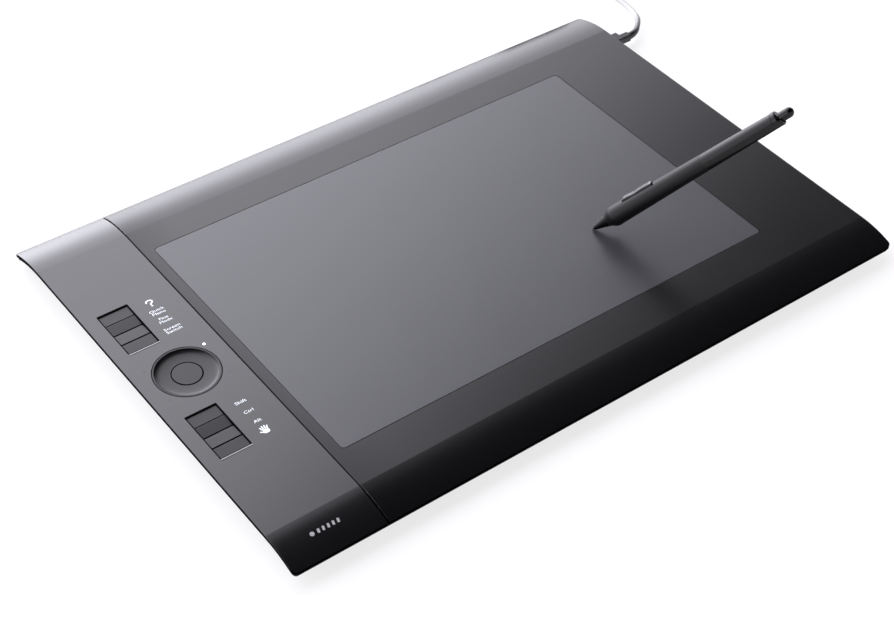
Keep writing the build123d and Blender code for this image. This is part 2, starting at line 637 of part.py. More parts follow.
GRIP_FRONT_R = 4.4
SLOT_START = 29.4           # the side switch's slot in the grip
SLOT_END = 53.8
SLOT_WIDTH = 5.5
with BuildPart() as pen_grip:
    with BuildSketch(ALONG):
        with BuildLine():
            Line((3.8, NOSE_END), (GRIP_FRONT_R, NOSE_END))
            FilletPolyline((GRIP_FRONT_R, NOSE_END), (4.9, 13.9), (6.75, 17.2), (SHOULDER_R, SHOULDER),
                           (5.9, GRIP_END), radius=[2.0, 3.0, 6.0])
            Line((5.9, GRIP_END), (GRIP_BORE, GRIP_END))
            Line((GRIP_BORE, GRIP_END), (GRIP_BORE, 19.6))
            Line((GRIP_BORE, 19.6), (3.8, 19.6))
            Line((3.8, 19.6), (3.8, NOSE_END))
        make_face()
    revolve(axis=PEN_AXIS)
    # slot for the side switch
    with BuildSketch(ACROSS.offset(SLOT_START)):
        with Locations((6.5, 0)):
            Rectangle(5, SLOT_WIDTH)
    extrude(amount=SLOT_END - SLOT_START, mode=Mode.SUBTRACT)
save(pen_grip.part, "pen_grip")

LIP_R = 5.15
BARREL_BORE = 4.3
with BuildPart() as pen_barrel:
    with BuildSketch(ALONG):
        with BuildLine():
            Polyline((BARREL_BORE, 84), (GRIP_BORE - 0.05, 84), (GRIP_BORE - 0.05, GRIP_END),
                     (5.88, GRIP_END), (5.88, GRIP_END + 0.4), (LIP_R + 0.05, RING_START),
                     (LIP_R, LIP_END - 0.3), (LIP_R - 0.3, LIP_END), (BARREL_BORE, LIP_END),
                     close=True)
        make_face()
    revolve(axis=PEN_AXIS)
    # the tail is cut back on the switch's side, which leaves a lip
    with BuildSketch(ACROSS.offset(RING_START)):
        with Locations((6.0, 0)):
            Rectangle(12, 14)
    extrude(amount=20, mode=Mode.SUBTRACT)
save(pen_barrel.part, "pen_barrel")

with BuildPart() as pen_tail_ring:
    with BuildSketch(ALONG):
        with BuildLine():
            Polyline((1.62, RING_START - 4), (BARREL_BORE - 0.05, RING_START - 4),
                     (BARREL_BORE - 0.05, RING_START), (LIP_R, RING_START),
                     (LIP_R + RING_SWELL, RING_START + 0.5), (LIP_R + RING_SWELL, RING_END - 0.6),
                     (LIP_R - 0.3, RING_END), (1.62, RING_END), close=True)
        make_face()
    revolve(axis=PEN_AXIS)
    with BuildSketch(ACROSS.offset(RING_START)):
        with Locations((-5.95, 0)):
            Rectangle(12, 14)
        Circle(BARREL_BORE - 0.05, mode=Mode.SUBTRACT)
    extrude(amount=20, mode=Mode.SUBTRACT)
save(pen_tail_ring.part, "pen_tail_ring")

ERASER_FRONT = RING_END + 0.9
with BuildPart() as pen_eraser:
    with BuildSketch(ALONG):
        with BuildLine():
            outline = Polyline((0, PEN_LENGTH), (0, 136), (1.5, 136), (1.5, ERASER_FRONT),
                               (ERASER_R - 0.3, ERASER_FRONT), (ERASER_R, ERASER_FRONT + 0.4),
                               (ERASER_R, PEN_LENGTH - ERASER_R))
            RadiusArc(outline @ 1, outline @ 0, -ERASER_R)
        make_face()
    revolve(axis=PEN_AXIS)
save(pen_eraser.part, "pen_eraser")

PIVOT_AT = 41.0
PIVOT_DEEP = 2.5            # the switch's pivot lies this far from the pen's middle
PIVOT_R = 0.8
with BuildPart() as pen_side_switch:
    # cap with a shallow V between its two halves
    with BuildSketch(ALONG):
        with BuildLine():
            Polyline((5.6, 29.9), (7.5, 29.9), (8.0, 31.2), (7.9, 34), (7.4, 38.9), (7.8, 45),
                     (7.7, 50.8), (7.3, 52.5), (5.6, 52.5), close=True)
        make_face()
    extrude(amount=2.2, both=True)
    fillet(pen_side_switch.edges().filter_by(
        lambda e: (e.center() - PEN_TIP).dot(SWITCH_DIR) > 6.4
        and abs(abs((e.center() - PEN_TIP).dot(ALONG.z_dir)) - 2.2) < 0.01), 0.45)
    # web down to the pivot
    with BuildSketch(ALONG):
        with Locations(((PIVOT_DEEP + 5.7) / 2, PIVOT_AT)):
            Rectangle(5.7 - PIVOT_DEEP, 2.6)
    extrude(amount=2.0, both=True)
    with BuildSketch(ALONG):
        with Locations((PIVOT_DEEP, PIVOT_AT)):
            Circle(1.3)
    extrude(amount=2.0, both=True)
    with BuildSketch(ALONG):
        with Locations((PIVOT_DEEP, PIVOT_AT)):
            Circle(PIVOT_R)
    extrude(amount=3.1, both=True)
save(pen_side_switch.part, "pen_side_switch")

CHASSIS_TOP = -1.2
SENSOR_END = 38.3
ERASER_SENSOR_START = 128.0
with BuildPart() as pen_chassis:
    with BuildSketch(ACROSS.offset(SENSOR_END)):
        with Locations((CHASSIS_TOP - 0.8, 0)):
            Rectangle(1.6, 6.4)
    extrude(amount=ERASER_SENSOR_START - SENSOR_END)
    # ears that hold the side switch's pivot
    with BuildSketch(ACROSS.offset(PIVOT_AT - 2)):
        for ear in (-1, 1):
            with Locations(((CHASSIS_TOP + 3.7) / 2, ear * 2.75)):
                Rectangle(3.7 - CHASSIS_TOP, 0.9)
    extrude(amount=4)
    with BuildSketch(ALONG):
        with Locations((PIVOT_DEEP, PIVOT_AT)):
            Circle(PIVOT_R + 0.05)
    extrude(amount=5, both=True, mode=Mode.SUBTRACT)
save(pen_chassis.part, "pen_chassis")

with BuildPart() as pen_circuit_board:
    with BuildSketch(ACROSS.offset(46)):
        with Locations((CHASSIS_TOP + 0.4, 0)):
            Rectangle(0.8, 6.0)
    extrude(amount=76)
    # tuning capacitor and the switch contacts
    with BuildSketch(ACROSS.offset(62)):
        with Locations((CHASSIS_TOP + 1.4, 0)):
            Rectangle(1.2, 3.0)
    extrude(amount=5)
    with BuildSketch(ACROSS.offset(50)):
        with Locations((CHASSIS_TOP + 1.5, 0)):
            Rectangle(1.4, 3.4)
    extrude(amount=3)
save(pen_circuit_board.part, "pen_circuit_board")

save(turned([(NIB_R + 0.15, 9.4), (1.9, 9.4), (1.9, 24.4), (NIB_R + 0.15, 24.4)]), "pen_ferrite_core")
save(turned([(1.9, 13.4), (2.9, 13.4), (2.9, 23), (1.9, 23)]), "pen_coil_winding")
save(turned([(0, 33.6), (3.2, 33.6), (3.2, 34.4), (3.5, 34.4), (3.5, SENSOR_END), (0, SENSOR_END)]),
     "pen_pressure_sensor")
save(turned([(0, ERASER_SENSOR_START), (3.4, ERASER_SENSOR_START), (3.4, 134.6), (2.0, 134.6),
             (2.0, 135.1), (0, 135.1)]), "pen_eraser_sensor")

# ---------------------------------------------------------------- lead: small plug
with BuildPart() as small_plug_shell:
    shell_start = TUB_OUT_X - 5.6
    with BuildSketch(Plane.YZ.offset(shell_start)):
        with Locations((PORT_Y, PORT_Z)):
            RectangleRounded(6.9, 3.1, 0.6)
    extrude(amount=TUB_OUT_X + 1.8 - shell_start)
    with BuildSketch(Plane.YZ.offset(shell_start)):
        with Locations((PORT_Y, PORT_Z)):
            RectangleRounded(6.3, 2.5, 0.4)
    extrude(amount=5.2, mode=Mode.SUBTRACT)
save(small_plug_shell.part, "small_plug_shell")

PLUG_FRONT_Y = 118.8
PLUG_BACK_Y = 129.0
with BuildPart() as small_plug_body:
    with BuildSketch(Plane.YZ.offset(TUB_OUT_X + 1.8)):
        with Locations(((PLUG_FRONT_Y + PLUG_BACK_Y) / 2, (PLUG_TOP + PLUG_BOTTOM) / 2)):
            RectangleRounded(PLUG_BACK_Y - PLUG_FRONT_Y, PLUG_TOP - PLUG_BOTTOM, 1.2)
    extrude(amount=PLUG_STEP_X - TUB_OUT_X - 1.8)
    fillet(small_plug_body.faces().sort_by(Axis.X)[-1].edges(), 0.5)
    with BuildSketch(Plane.YZ.offset(PLUG_STEP_X - 1)):
        with Locations((CABLE_Y, (PLUG_TOP + PLUG_BOTTOM) / 2)):
            RectangleRounded(6.8, PLUG_TOP - PLUG_BOTTOM - 0.4, 1.6)
    extrude(amount=PLUG_END_X - PLUG_STEP_X + 1)
    fillet(small_plug_body.faces().sort_by(Axis.X)[-1].edges(), 0.4)
save(small_plug_body.part, "small_plug_body")

with BuildPart() as strain_relief:
    with BuildLine():
        relief_path = JernArc((PLUG_END_X, CABLE_Y, PORT_Z), (1, 0, 0), RELIEF_BEND, RELIEF_TURN)
    for step in range(RELIEF_STEPS + 1):
        along = step / RELIEF_STEPS
        with BuildSketch(Plane(relief_path @ along, z_dir=relief_path % along)):
            Circle(RELIEF_R + (RELIEF_END_R - RELIEF_R) * along)
    loft()
save(strain_relief.part, "strain_relief")


# ---------------------------------------------------------------- lead: cable
def bend_radii(points):
    """Radius at each corner of a route: as large as the two runs beside it allow."""
    radii = []
    for before, here, after in zip(points, points[1:], points[2:]):
        run_in = Vector(*here) - Vector(*before)
        run_out = Vector(*after) - Vector(*here)
        half_turn = math.radians(run_in.get_angle(run_out)) / 2
        radii.append(0.45 * min(run_in.length, run_out.length) / math.tan(half_turn))
    return radii


def cable_tube(points, name):
    """Round tube along a route of straight runs joined by tangent arcs."""
    radii = bend_radii(points)
    with BuildPart() as tube:
        with BuildLine() as path:
            FilletPolyline(*points, radius=radii)
        start = path.wires()[0]
        with BuildSketch(Plane(start @ 0, z_dir=start % 0)):
            Circle(CABLE_R)
        sweep(path=start)
    expected = math.pi * CABLE_R ** 2 * start.length
    print(name, "radii", [round(r, 1) for r in radii], "length", round(start.length, 1),
          "volume ratio", round(tube.part.volume / expected, 4))
    return tube.part


save(cable_tube(ROUTE, "usb_cable"), "usb_cable")

tail_angle = math.radians(TAIL_TURN)
OUTER_TURN_R = COIL_R + COIL_HALF_WIDTH - CABLE_R
TAIL_DIR = Vector(-math.sin(tail_angle), math.cos(tail_angle), 0)
tail_point = Vector(COIL_X + OUTER_TURN_R * math.cos(tail_angle),
                    COIL_Y + OUTER_TURN_R * math.sin(tail_angle), 2 * COIL_HALF_HEIGHT - CABLE_R)
tail_route = [tuple(tail_point)]
for step, height in TAIL_STEPS:
    tail_point = tail_point + TAIL_DIR * step
    tail_route.append((tail_point.X, tail_point.Y, height))
save(cable_tube(tail_route, "usb_cable_tail"), "usb_cable_tail")
print("tail", [tuple(round(value, 2) for value in point) for point in tail_route])

tie_angle = math.radians(TIE_TURN)
TIE_PLANE = Plane((COIL_X + COIL_R * math.cos(tie_angle), COIL_Y + COIL_R * math.sin(tie_angle), 0),
                  x_dir=(math.cos(tie_angle), math.sin(tie_angle), 0),
                  z_dir=(math.sin(tie_angle), -math.cos(tie_angle), 0))
TIE_BED = 0.5               # the tie presses this far into the coil
with BuildPart() as cable_tie:
    with BuildSketch(TIE_PLANE):
        with Locations((0, COIL_HALF_HEIGHT + TIE_THICK / 2)):
            RectangleRounded(2 * (COIL_HALF_WIDTH + TIE_THICK), 2 * COIL_HALF_HEIGHT + TIE_THICK, 1.2)
            Rectangle(2 * COIL_HALF_WIDTH, 2 * COIL_HALF_HEIGHT - TIE_THICK, mode=Mode.SUBTRACT)
    extrude(amount=TIE_WIDTH / 2, both=True)
save(cable_tie.part, "cable_tie")

with BuildPart() as usb_cable_coil:
    with BuildSketch(Plane.XZ.offset(-COIL_Y)):
        with Locations((COIL_X + COIL_R, COIL_HALF_HEIGHT)):
            RectangleRounded(2 * COIL_HALF_WIDTH, 2 * COIL_HALF_HEIGHT, 1.8)
    revolve(axis=Axis((COIL_X, COIL_Y, 0), (0, 0, 1)))
    # beds for the tie, under and on the coil
    with BuildSketch(TIE_PLANE):
        with Locations((0, TIE_THICK / 2 - TIE_BED)):
            Rectangle(2 * COIL_HALF_WIDTH + 2, TIE_THICK + 2 * TIE_BED)
        with Locations((0, 2 * COIL_HALF_HEIGHT + TIE_BED)):
            Rectangle(2 * COIL_HALF_WIDTH + 2, 2 * TIE_BED)
    extrude(amount=TIE_WIDTH / 2, both=True, mode=Mode.SUBTRACT)
save(usb_cable_coil.part, "usb_cable_coil")

# ---------------------------------------------------------------- lead: large plug
PLUG_PLANE = Plane(tail_route[-1], x_dir=(0, 0, 1), z_dir=TAIL_DIR)
with BuildPart() as large_plug_body:
    with BuildSketch(PLUG_PLANE):
        Circle(2.4)
    with BuildSketch(PLUG_PLANE.offset(9)):
        Circle(3.3)
    loft()
    with BuildSketch(PLUG_PLANE.offset(9)):
        RectangleRounded(7.6, 15.4, 1.8)
    extrude(amount=26)
    fillet(large_plug_body.faces().sort_by(Axis(PLUG_PLANE.origin, TAIL_DIR))[-1].edges(), 0.5)
save(large_plug_body.part, "large_plug_body")

with BuildPart() as large_plug_shell:
    with BuildSketch(PLUG_PLANE.offset(35)):
        RectangleRounded(4.5, 12.0, 0.4)
    extrude(amount=18.7)
    with BuildSketch(PLUG_PLANE.offset(36)):
        RectangleRounded(3.9, 11.4, 0.3)
    extrude(amount=20, mode=Mode.SUBTRACT)
    with BuildSketch(PLUG_PLANE.offset(36)):
        with Locations((-0.9, 0)):
            Rectangle(1.9, 11.2)
    extrude(amount=17)
    # latch windows
    with BuildSketch(Plane(PLUG_PLANE.origin, x_dir=TAIL_DIR, z_dir=(0, 0, 1))):
        with Locations((47, 2.6), (47, -2.6)):
            Rectangle(2.4, 2.2)
    extrude(amount=4, mode=Mode.SUBTRACT)
save(large_plug_shell.part, "large_plug_shell")
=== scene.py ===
import math

import bmesh
import bpy
from mathutils import Matrix, Vector


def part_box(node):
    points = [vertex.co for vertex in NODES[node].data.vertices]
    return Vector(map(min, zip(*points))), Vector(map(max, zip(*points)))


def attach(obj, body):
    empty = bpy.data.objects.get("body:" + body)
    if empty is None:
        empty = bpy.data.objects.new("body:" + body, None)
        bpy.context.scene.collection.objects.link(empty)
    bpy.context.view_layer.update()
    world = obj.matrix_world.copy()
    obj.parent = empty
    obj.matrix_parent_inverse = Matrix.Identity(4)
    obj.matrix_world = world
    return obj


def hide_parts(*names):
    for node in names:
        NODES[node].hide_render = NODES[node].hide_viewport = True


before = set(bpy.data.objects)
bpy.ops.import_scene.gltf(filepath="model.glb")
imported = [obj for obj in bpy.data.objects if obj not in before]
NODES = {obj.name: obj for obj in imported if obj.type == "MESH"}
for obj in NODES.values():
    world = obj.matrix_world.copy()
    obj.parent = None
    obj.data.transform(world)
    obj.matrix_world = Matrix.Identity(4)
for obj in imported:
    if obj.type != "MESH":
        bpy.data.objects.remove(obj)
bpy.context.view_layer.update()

# A pen drawing tablet with its pen standing on the sheet and its USB lead, dressed around the
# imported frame. Metres, in the frame's own axes: +Z up, +Y away from the user.
MM = 0.001


# ---------------------------------------------------------------- camera
CAMERA_AT = Vector((-0.565855, -0.680592, 0.785129))
CAMERA_TARGET = Vector((-0.04537, -0.04473, 0.014))
CAMERA_LENS = 72.80         # millimetres
CAMERA_ROLL = 2.99          # degrees
CLIP_START = 0.01


def make_camera():
    data = bpy.data.cameras.new("camera")
    data.lens = CAMERA_LENS
    data.clip_start = CLIP_START
    camera = bpy.data.objects.new("camera", data)
    bpy.context.scene.collection.objects.link(camera)
    aim = (CAMERA_TARGET - CAMERA_AT).to_track_quat("-Z", "Y").to_matrix().to_4x4()
    roll = Matrix.Rotation(math.radians(CAMERA_ROLL), 4, "Z")
    camera.matrix_world = Matrix.Translation(CAMERA_AT) @ aim @ roll
    bpy.context.scene.camera = camera


make_camera()


# ---------------------------------------------------------------- shader helpers
def new_material(name):
    """A material with its shader and its node tree."""
    made = bpy.data.materials.new(name)
    made.use_nodes = True
    return made, made.node_tree.nodes["Principled BSDF"], made.node_tree


def coordinates(tree):
    return tree.nodes.new("ShaderNodeTexCoord").outputs["Object"]


def noise(tree, size, detail=3.0, stretch=(1, 1, 1)):
    """Noise with features of about this size in metres, stretched along the object's axes."""
    place = tree.nodes.new("ShaderNodeMapping")
    place.inputs["Scale"].default_value = [1 / (size * s) for s in stretch]
    texture = tree.nodes.new("ShaderNodeTexNoise")
    texture.inputs["Scale"].default_value = 1.0
    texture.inputs["Detail"].default_value = detail
    tree.links.new(coordinates(tree), place.inputs["Vector"])
    tree.links.new(place.outputs["Vector"], texture.inputs["Vector"])
    return texture.outputs["Fac"]


def ramp(tree, factor, stops):
    """Colour ramp from (position, colour) stops; a plain number is a gray."""
    node = tree.nodes.new("ShaderNodeValToRGB")
    elements = node.color_ramp.elements
    while len(elements) < len(stops):
        elements.new(0.5)
    for element, (position, colour) in zip(elements, stops):
        element.position = position
        shade = (colour,) * 3 if isinstance(colour, (int, float)) else colour
        element.color = (*shade, 1.0)
    tree.links.new(factor, node.inputs["Fac"])
    return node.outputs["Color"]


def drive(tree, shader, socket, factor, stops):
    """Feed this socket of the shader from a colour ramp over the factor."""
    tree.links.new(ramp(tree, factor, stops), shader.inputs[socket])


def bricks(tree, size, gap, colours, width=0.5):
    """Brick pattern in two colours and a third for the gaps: its colour and its gap mask."""
    node = tree.nodes.new("ShaderNodeTexBrick")
    node.inputs["Scale"].default_value = 1 / size
    node.inputs["Mortar Size"].default_value = gap
    node.inputs["Brick Width"].default_value = width
    for socket, colour in zip(("Color1", "Color2", "Mortar"), colours):
        node.inputs[socket].default_value = (*colour, 1)
    tree.links.new(coordinates(tree), node.inputs["Vector"])
    return node.outputs["Color"], node.outputs["Fac"]


def bump(tree, shader, height, distance, strength=1.0):
    """Relief of this many metres between black and white of the height texture."""
    node = tree.nodes.new("ShaderNodeBump")
    node.inputs["Strength"].default_value = strength
    node.inputs["Distance"].default_value = distance
    tree.links.new(height, node.inputs["Height"])
    tree.links.new(node.outputs["Normal"], shader.inputs["Normal"])


def tint(colour, factor):
    return tuple(channel * factor for channel in colour)


def along_axis(tree, axis, start, end):
    """0 at one place along an object axis, 1 at the other."""
    parts = tree.nodes.new("ShaderNodeSeparateXYZ")
    tree.links.new(coordinates(tree), parts.inputs["Vector"])
    level = tree.nodes.new("ShaderNodeMapRange")
    level.inputs["From Min"].default_value = start
    level.inputs["From Max"].default_value = end
    tree.links.new(parts.outputs[axis], level.inputs["Value"])
    return level.outputs["Result"]


WALL = 0.60                 # up to this vertical part of its normal, a surface is a side wall
FLAT = 0.91                 # and from this part on it is flat


def facing_up(tree):
    """1 where the surface faces up or down, 0 where it faces sideways."""
    parts = tree.nodes.new("ShaderNodeSeparateXYZ")
    tree.links.new(tree.nodes.new("ShaderNodeTexCoord").outputs["Normal"], parts.inputs["Vector"])
    size = tree.nodes.new("ShaderNodeMath")
    size.operation = "ABSOLUTE"
    tree.links.new(parts.outputs["Z"], size.inputs[0])
    level = tree.nodes.new("ShaderNodeMapRange")
    level.interpolation_type = "SMOOTHSTEP"
    level.inputs["From Min"].default_value = WALL
    level.inputs["From Max"].default_value = FLAT
    tree.links.new(size.outputs["Value"], level.inputs["Value"])
    return level.outputs["Result"]


def plastic(name, colour, roughness, spread=0.05, uneven=0.008, grain=0.35 * MM, relief=0.0006 * MM,
            patch=45 * MM, index=1.5, stretch=(1, 1, 1), painted_wall_shade=False, painted_shade_fade=None):
    """Moulded plastic: soft patches of wear in colour and gloss over a fine moulded grain.

    With painted wall shade, shade is painted on the walls of seams, pockets and edges: they hardly
    mirror the floor.
    With a painted fade, (start, end, level), painted shade dims the gloss to that level towards
    start along X.
    """
    made, shader, tree = new_material(name)
    wear = noise(tree, patch, detail=4.0)
    drive(tree, shader, "Base Color", wear,
          [(0.15, tint(colour, 1 - spread)), (0.85, tint(colour, 1 + spread))])
    drive(tree, shader, "Roughness", wear, [(0.15, roughness - uneven), (0.85, roughness + uneven)])
    shader.inputs["IOR"].default_value = index
    bump(tree, shader, noise(tree, grain, detail=2.0, stretch=stretch), relief)
    # painted shade: side walls turn metallic with their reflection tinted black, so they read dark
    if painted_wall_shade:
        flip = tree.nodes.new("ShaderNodeMath")
        flip.operation = "SUBTRACT"
        flip.inputs[0].default_value = 1.0
        up = facing_up(tree)
        tree.links.new(up, flip.inputs[1])
        tree.links.new(flip.outputs["Value"], shader.inputs["Metallic"])
        mirrored = up
        # painted shade: the reflection of the flat faces is dimmed along X towards start
        if painted_shade_fade:
            start, end, level = painted_shade_fade
            faded = tree.nodes.new("ShaderNodeMath")
            faded.operation = "MULTIPLY"
            fade = ramp(tree, along_axis(tree, "X", start, end), [(0.0, level), (1.0, 1.0)])
            tree.links.new(up, faded.inputs[0])
            tree.links.new(fade, faded.inputs[1])
            mirrored = faded.outputs["Value"]
        drive(tree, shader, "Specular Tint", mirrored, [(0.0, 0.0), (1.0, 1.0)])
    return made


def metal(name, colour, roughness, stretch=(8, 1, 1)):
    """Brushed or plated metal with fine lines along one axis."""
    made, shader, tree = new_material(name)
    shader.inputs["Metallic"].default_value = 1.0
    lines = noise(tree, 0.3 * MM, detail=4.0, stretch=stretch)
    drive(tree, shader, "Base Color", lines, [(0.3, tint(colour, 0.85)), (0.7, colour)])
    drive(tree, shader, "Roughness", lines, [(0.2, roughness * 0.8), (0.8, roughness * 1.3)])
    bump(tree, shader, lines, 0.003 * MM)
    return made


# ---------------------------------------------------------------- materials
def circuit_board(name):
    """Green solder mask with paler copper runs showing through."""
    made, shader, tree = new_material(name)
    colour, runs = bricks(tree, 6 * MM, 0.03, [(0.010, 0.075, 0.030), (0.012, 0.090, 0.038),
                                               (0.05, 0.22, 0.07)])
    tree.links.new(colour, shader.inputs["Base Color"])
    drive(tree, shader, "Roughness", noise(tree, 3 * MM), [(0.3, 0.25), (0.7, 0.4)])
    bump(tree, shader, runs, 0.03 * MM, strength=0.5)
    return made


def sheet_surface(name):
    """Drawing sheet: a warm gray film with a fine paper-like tooth."""
    made, shader, tree = new_material(name)
    wear = noise(tree, 45 * MM, detail=5.0)
    drive(tree, shader, "Base Color", wear,
          [(0.2, (0.0375, 0.0372, 0.0430)), (0.8, (0.0405, 0.0402, 0.0465))])
    drive(tree, shader, "Roughness", wear, [(0.2, 0.275), (0.8, 0.295)])
    shader.inputs["IOR"].default_value = 1.58
    bump(tree, shader, noise(tree, 0.25 * MM, detail=3.0), 0.001 * MM)
    return made


def emitter(name, colour, strength):
    """Lit legend: an even glow, a little weaker in places."""
    made, shader, tree = new_material(name)
    shader.inputs["Base Color"].default_value = (0.6, 0.6, 0.6, 1)
    shader.inputs["Roughness"].default_value = 0.4
    drive(tree, shader, "Emission Color", noise(tree, 0.8 * MM),
          [(0.3, tint(colour, 0.88)), (0.7, colour)])
    shader.inputs["Emission Strength"].default_value = strength
    return made


def cable_jacket(name):
    """Pale lead with painted shade darkening it where it comes out of its strain relief, and faint
    handling marks.
    """
    made, shader, tree = new_material(name)
    # painted shade: the lead is darkened near the strain relief, fading out along Y
    near_relief_shade = along_axis(tree, "Y", 126 * MM, 146 * MM)
    pale = ramp(tree, near_relief_shade, [(0.0, 0.16), (0.35, 0.30), (1.0, 0.56)])
    marks = ramp(tree, noise(tree, 14 * MM, detail=5.0), [(0.3, 0.9), (0.7, 1.0)])
    both = tree.nodes.new("ShaderNodeMix")
    both.data_type = "RGBA"
    both.blend_type = "MULTIPLY"
    both.inputs["Factor"].default_value = 1.0
    tree.links.new(pale, both.inputs["A"])
    tree.links.new(marks, both.inputs["B"])
    tree.links.new(both.outputs["Result"], shader.inputs["Base Color"])
    drive(tree, shader, "Roughness", noise(tree, 14 * MM, detail=5.0), [(0.3, 0.42), (0.7, 0.55)])
    bump(tree, shader, noise(tree, 0.4 * MM, detail=2.0), 0.004 * MM)
    return made


def relief_sleeve(name):
    """Strain relief: black at the plug, grayer towards the lead, with fine moulded rings."""
    made, shader, tree = new_material(name)
    drive(tree, shader, "Base Color", along_axis(tree, "X", 254 * MM, 267 * MM),
          [(0.0, 0.006), (0.4, 0.012), (1.0, 0.15)])
    drive(tree, shader, "Roughness", noise(tree, 5 * MM), [(0.3, 0.36), (0.7, 0.44)])
    rings = tree.nodes.new("ShaderNodeTexWave")
    rings.inputs["Scale"].default_value = 1 / (7 * MM)
    tree.links.new(coordinates(tree), rings.inputs["Vector"])
    bump(tree, shader, rings.outputs["Fac"], 0.05 * MM)
    return made


def key_surface(name):
    """Satin key tops with fine lines across the strip, and walls kept black by painted shade."""
    return plastic(name, (0.0080, 0.0080, 0.0086), 0.36, index=1.42, grain=0.5 * MM,
                   relief=0.004 * MM, stretch=(12, 1, 1), painted_wall_shade=True)


def printed_plate(name):
    """Silver film with blank printed lines."""
    made, shader, tree = new_material(name)
    lines = bricks(tree, 9 * MM, 0.07, [(0.10, 0.10, 0.10), (0.42, 0.42, 0.43),
                                        (0.45, 0.45, 0.46)], width=1.6)[0]
    tree.links.new(lines, shader.inputs["Base Color"])
    drive(tree, shader, "Roughness", noise(tree, 4 * MM), [(0.3, 0.3), (0.7, 0.4)])
    return made


def woven_strap(name):
    """Hook-and-loop strap: a black weave."""
    made, shader, tree = new_material(name)
    colour, weave = bricks(tree, 1.0 * MM, 0.06, [(0.016, 0.016, 0.016), (0.024, 0.024, 0.024),
                                                  (0.004, 0.004, 0.004)])
    tree.links.new(colour, shader.inputs["Base Color"])
    drive(tree, shader, "Roughness", noise(tree, 1 * MM), [(0.3, 0.75), (0.7, 0.9)])
    bump(tree, shader, weave, 0.08 * MM)
    return made


MATERIALS = {
    # case_dark and case_gray get painted shade on their walls; case_dark also gets a painted shade
    # that dims its gloss at its left end, from x -140 mm leftwards
    "case_dark": plastic("case_dark", (0.0050, 0.0050, 0.0055), 0.22, index=1.47, painted_wall_shade=True,
                         painted_shade_fade=(-176 * MM, -140 * MM, 0.70)),
    "case_gray": plastic("case_gray", (0.0060, 0.0060, 0.0067), 0.22, index=1.58, painted_wall_shade=True),
    "case_under": plastic("case_under", (0.0100, 0.0100, 0.0105), 0.50, grain=0.5 * MM,
                          relief=0.004 * MM),
    "case_black": plastic("case_black", (0.0060, 0.0060, 0.0062), 0.32),
    "sheet_gray": sheet_surface("sheet_gray"),
    "key_gray": key_surface("key_gray"),
    # painted shade keeps the ring's walls dark
    "ring_gray": plastic("ring_gray", (0.0060, 0.0060, 0.0064), 0.34, index=1.44, painted_wall_shade=True),
    "lit_white": emitter("lit_white", (0.80, 0.90, 1.0), 1.4),
    "rubber_black": plastic("rubber_black", (0.012, 0.012, 0.012), 0.75, relief=0.02 * MM),
    "screw_steel": metal("screw_steel", (0.42, 0.42, 0.43), 0.30),
    "plate_silver": printed_plate("plate_silver"),
    "circuit_green": circuit_board("circuit_green"),
    "shield_foil": metal("shield_foil", (0.60, 0.60, 0.62), 0.28, stretch=(1, 6, 1)),
    "display_black": plastic("display_black", (0.003, 0.003, 0.004), 0.12),
    "switch_black": plastic("switch_black", (0.015, 0.015, 0.015), 0.45),
    "plug_metal": metal("plug_metal", (0.62, 0.62, 0.63), 0.22),
    "ribbon_film": plastic("ribbon_film", (0.16, 0.07, 0.02), 0.35),
    "pen_soft": plastic("pen_soft", (0.0040, 0.0040, 0.0042), 0.36, grain=0.25 * MM,
                        relief=0.004 * MM, index=1.31),
    "pen_case": plastic("pen_case", (0.0038, 0.0038, 0.0040), 0.26, grain=0.25 * MM, index=1.33),
    "pen_gloss": plastic("pen_gloss", (0.0012, 0.0012, 0.0013), 0.06, index=1.33),
    "nib_black": plastic("nib_black", (0.010, 0.010, 0.010), 0.35),
    "pen_inside": plastic("pen_inside", (0.10, 0.10, 0.10), 0.5),
    "ferrite": plastic("ferrite", (0.03, 0.028, 0.027), 0.7, relief=0.03 * MM),
    "copper": metal("copper", (0.85, 0.42, 0.22), 0.25),
    "plug_black": plastic("plug_black", (0.008, 0.008, 0.008), 0.42, relief=0.004 * MM),
    "cable_pale": cable_jacket("cable_pale"),
}
# nodes whose finish differs from the rest of their slot
SPECIAL = {
    "status_light_guides": plastic("light_guide", (0.012, 0.012, 0.013), 0.20),
    "strain_relief": relief_sleeve("relief_sleeve"),
    "cable_tie": woven_strap("woven_strap"),
    # painted sheen: the switch gets a lighter gray than the pen to stand in for the sheen along its
    # face
    "pen_side_switch": plastic("side_switch", (0.035, 0.035, 0.036), 0.25),
}


def dress_nodes():
    """Give every CAD node the material that its slot names."""
    for name, node in NODES.items():
        for number, old in enumerate(node.data.materials):
            slot = old.name.split(".")[0]
            node.data.materials[number] = SPECIAL.get(name, MATERIALS[slot])


dress_nodes()


# ---------------------------------------------------------------- lead
CABLE_R = 2.0 * MM
LEAD_EXIT = (266.86, 126.98, 6.35)
# the route from the strain relief to the coil, in millimetres
LEAD_ROUTE = [LEAD_EXIT, (273.8, 132.8, 6.35), (279.3, 141.3, 4.9), (283.6, 153.2, 3.1),
              (286.0, 166.4, 2.05), (285.2, 182.0, 2.05), (283.4, 199.5, 2.05),
              (283.0, 218.0, 2.05), (283.7, 236.5, 2.05), (285.0, 255.0, 2.05)]
# and from the coil to the large plug
LEAD_TAIL = [(247.98, 288.12, 13.2), (235.18, 290.38, 9.6), (222.37, 292.64, 5.6),
             (211.54, 294.55, 4.1), (201.69, 296.28, 4.1)]
COIL_CENTRE = Vector((254.5, 256.0, 0.0)) * MM
COIL_OUTER = 30.5 * MM      # radius of the outermost turn's middle line
COIL_INNER = 15.5 * MM
COIL_LAYERS = 4
COIL_SPIRAL = 1350.0        # degrees of turning in one layer
COIL_CLIMB = 440.0 / 3      # degrees of turning from one layer to the next
COIL_STEPS = 390


